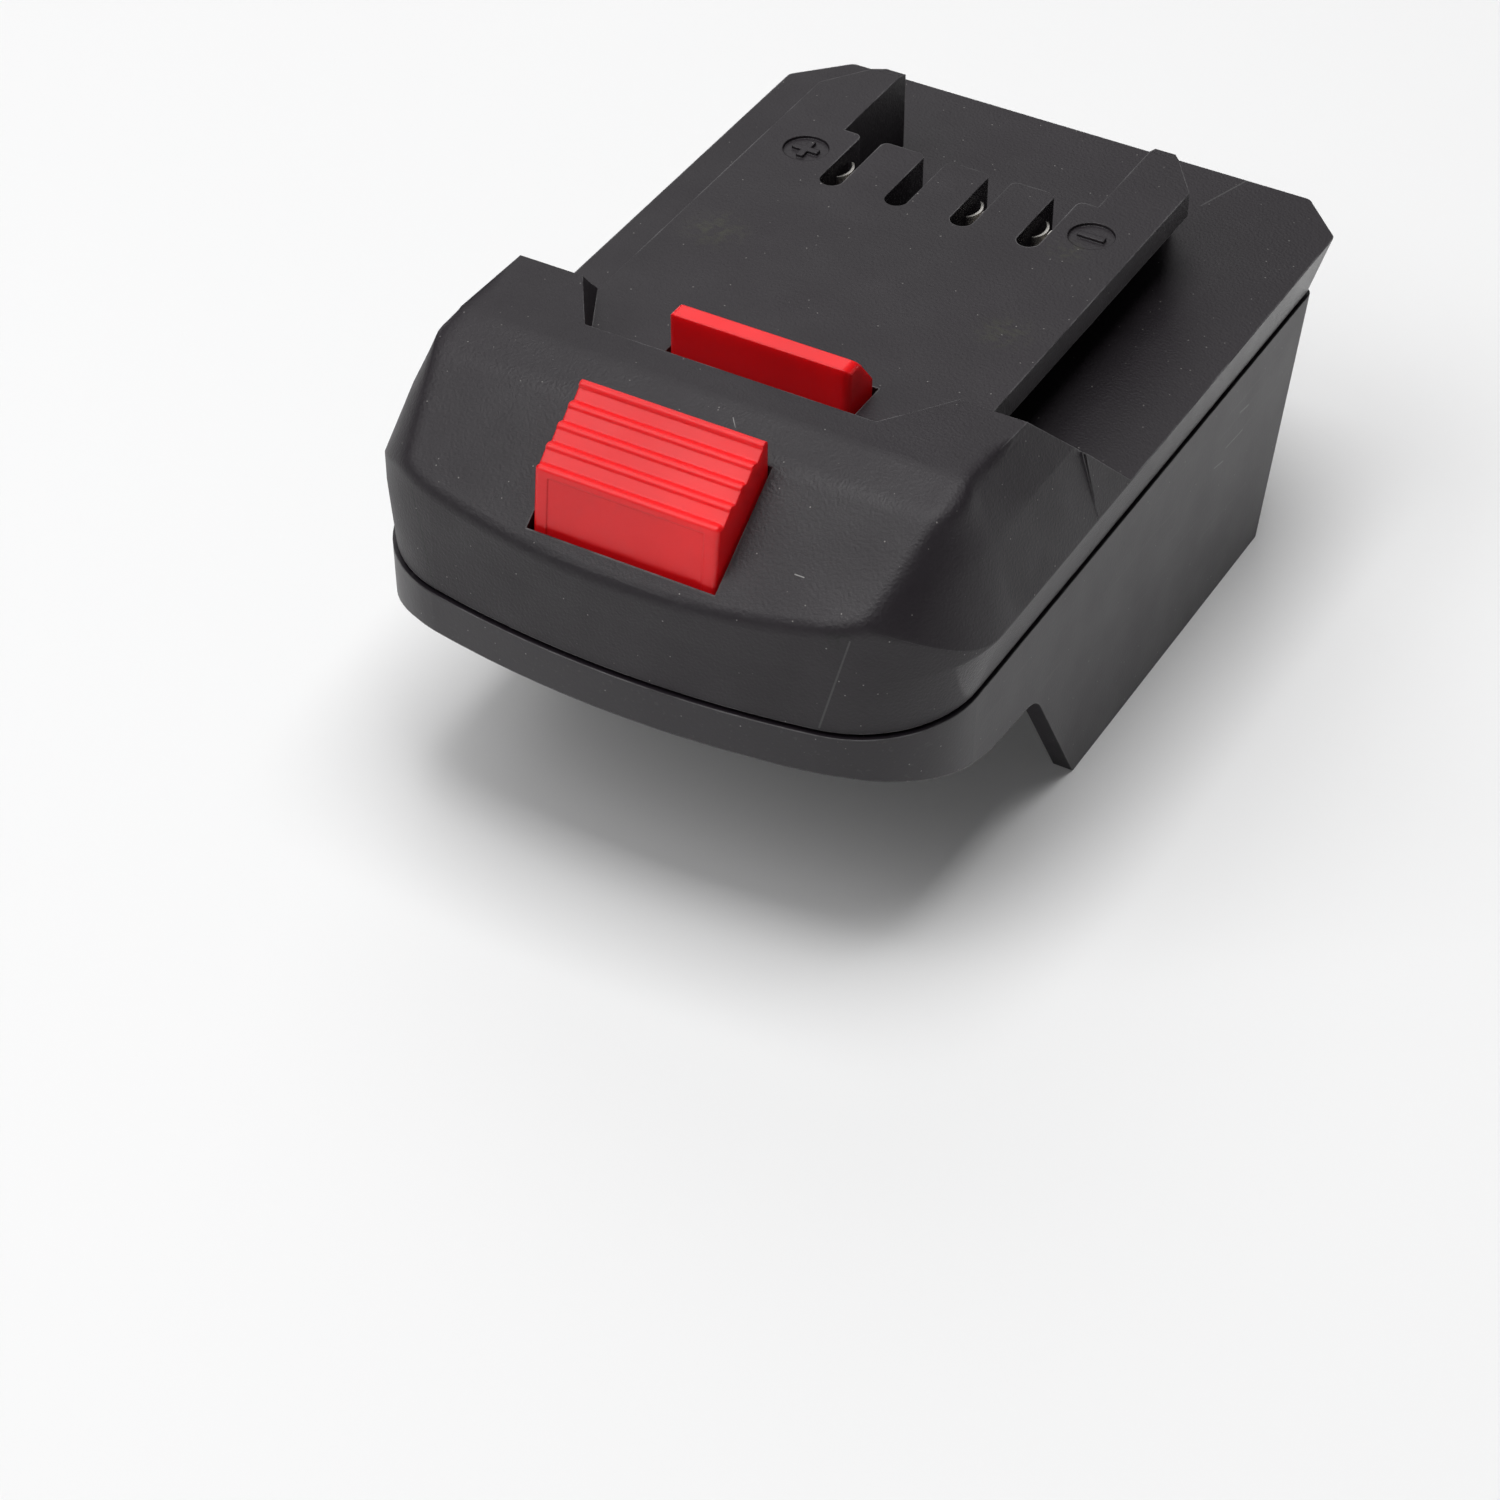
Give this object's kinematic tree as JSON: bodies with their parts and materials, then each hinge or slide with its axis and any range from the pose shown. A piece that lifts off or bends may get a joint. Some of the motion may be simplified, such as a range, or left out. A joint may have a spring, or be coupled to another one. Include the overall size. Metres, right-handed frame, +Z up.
{
  "type": "tool battery adapter",
  "caption": "Moulded adapter that slides onto a cordless tool battery and offers a T-shaped rail, slotted contacts and a sprung latch with a ribbed release button.",
  "frame": {"origin": "middle of the footprint, at the lower edges of the side walls", "axes": "+Z up through the rail plate, -Y towards the nose with the release button, +Y towards the contacts and the open end of the rail, +X to the right seen from the nose side with the contacts away"},
  "size_m": [0.071, 0.106, 0.0547],
  "materials": {
    "cover_plastic": "fine-grained moulded",
    "case_plastic": "fine-grained moulded, satin rim",
    "red_plastic": "satin moulded",
    "spring_steel": "drawn wire",
    "contact_nickel": "bright plated sheet",
    "carrier_plastic": "moulded",
    "board_laminate": "solder-masked laminate",
    "resistor_coat": "lacquered",
    "blade_brass": "stamped sheet",
    "wire_red": "insulation",
    "wire_white": "insulation",
    "wire_black": "insulation",
    "screw_steel": "zinc plated"
  },
  "bodies": {
    "housing": {"top_cover": "cover_plastic", "bottom_case": "case_plastic", "latch_spring_left": "spring_steel", "latch_spring_right": "spring_steel", "contact_clip_positive": "contact_nickel", "contact_clip_signal": "contact_nickel", "contact_clip_negative": "contact_nickel", "clip_carrier": "carrier_plastic", "circuit_board": "board_laminate", "signal_resistors": "resistor_coat", "terminal_block": "carrier_plastic", "blade_positive": "blade_brass", "blade_signal": "blade_brass", "blade_negative": "blade_brass", "wire_positive": "wire_red", "wire_signal": "wire_white", "wire_negative": "wire_black", "case_screws": "screw_steel", "carrier_screws": "screw_steel", "terminal_screws": "screw_steel"},
    "latch": {"release_latch": "red_plastic"}
  },
  "joints": [
    {"name": "release_press", "type": "slide", "parent": "housing", "child": "latch", "axis": [0, 0, -1], "range_m": [0, 0.0055], "stiffness_N_per_m": 1200, "springref_m": -0.004, "deforming": ["latch_spring_left", "latch_spring_right"]}
  ]
}
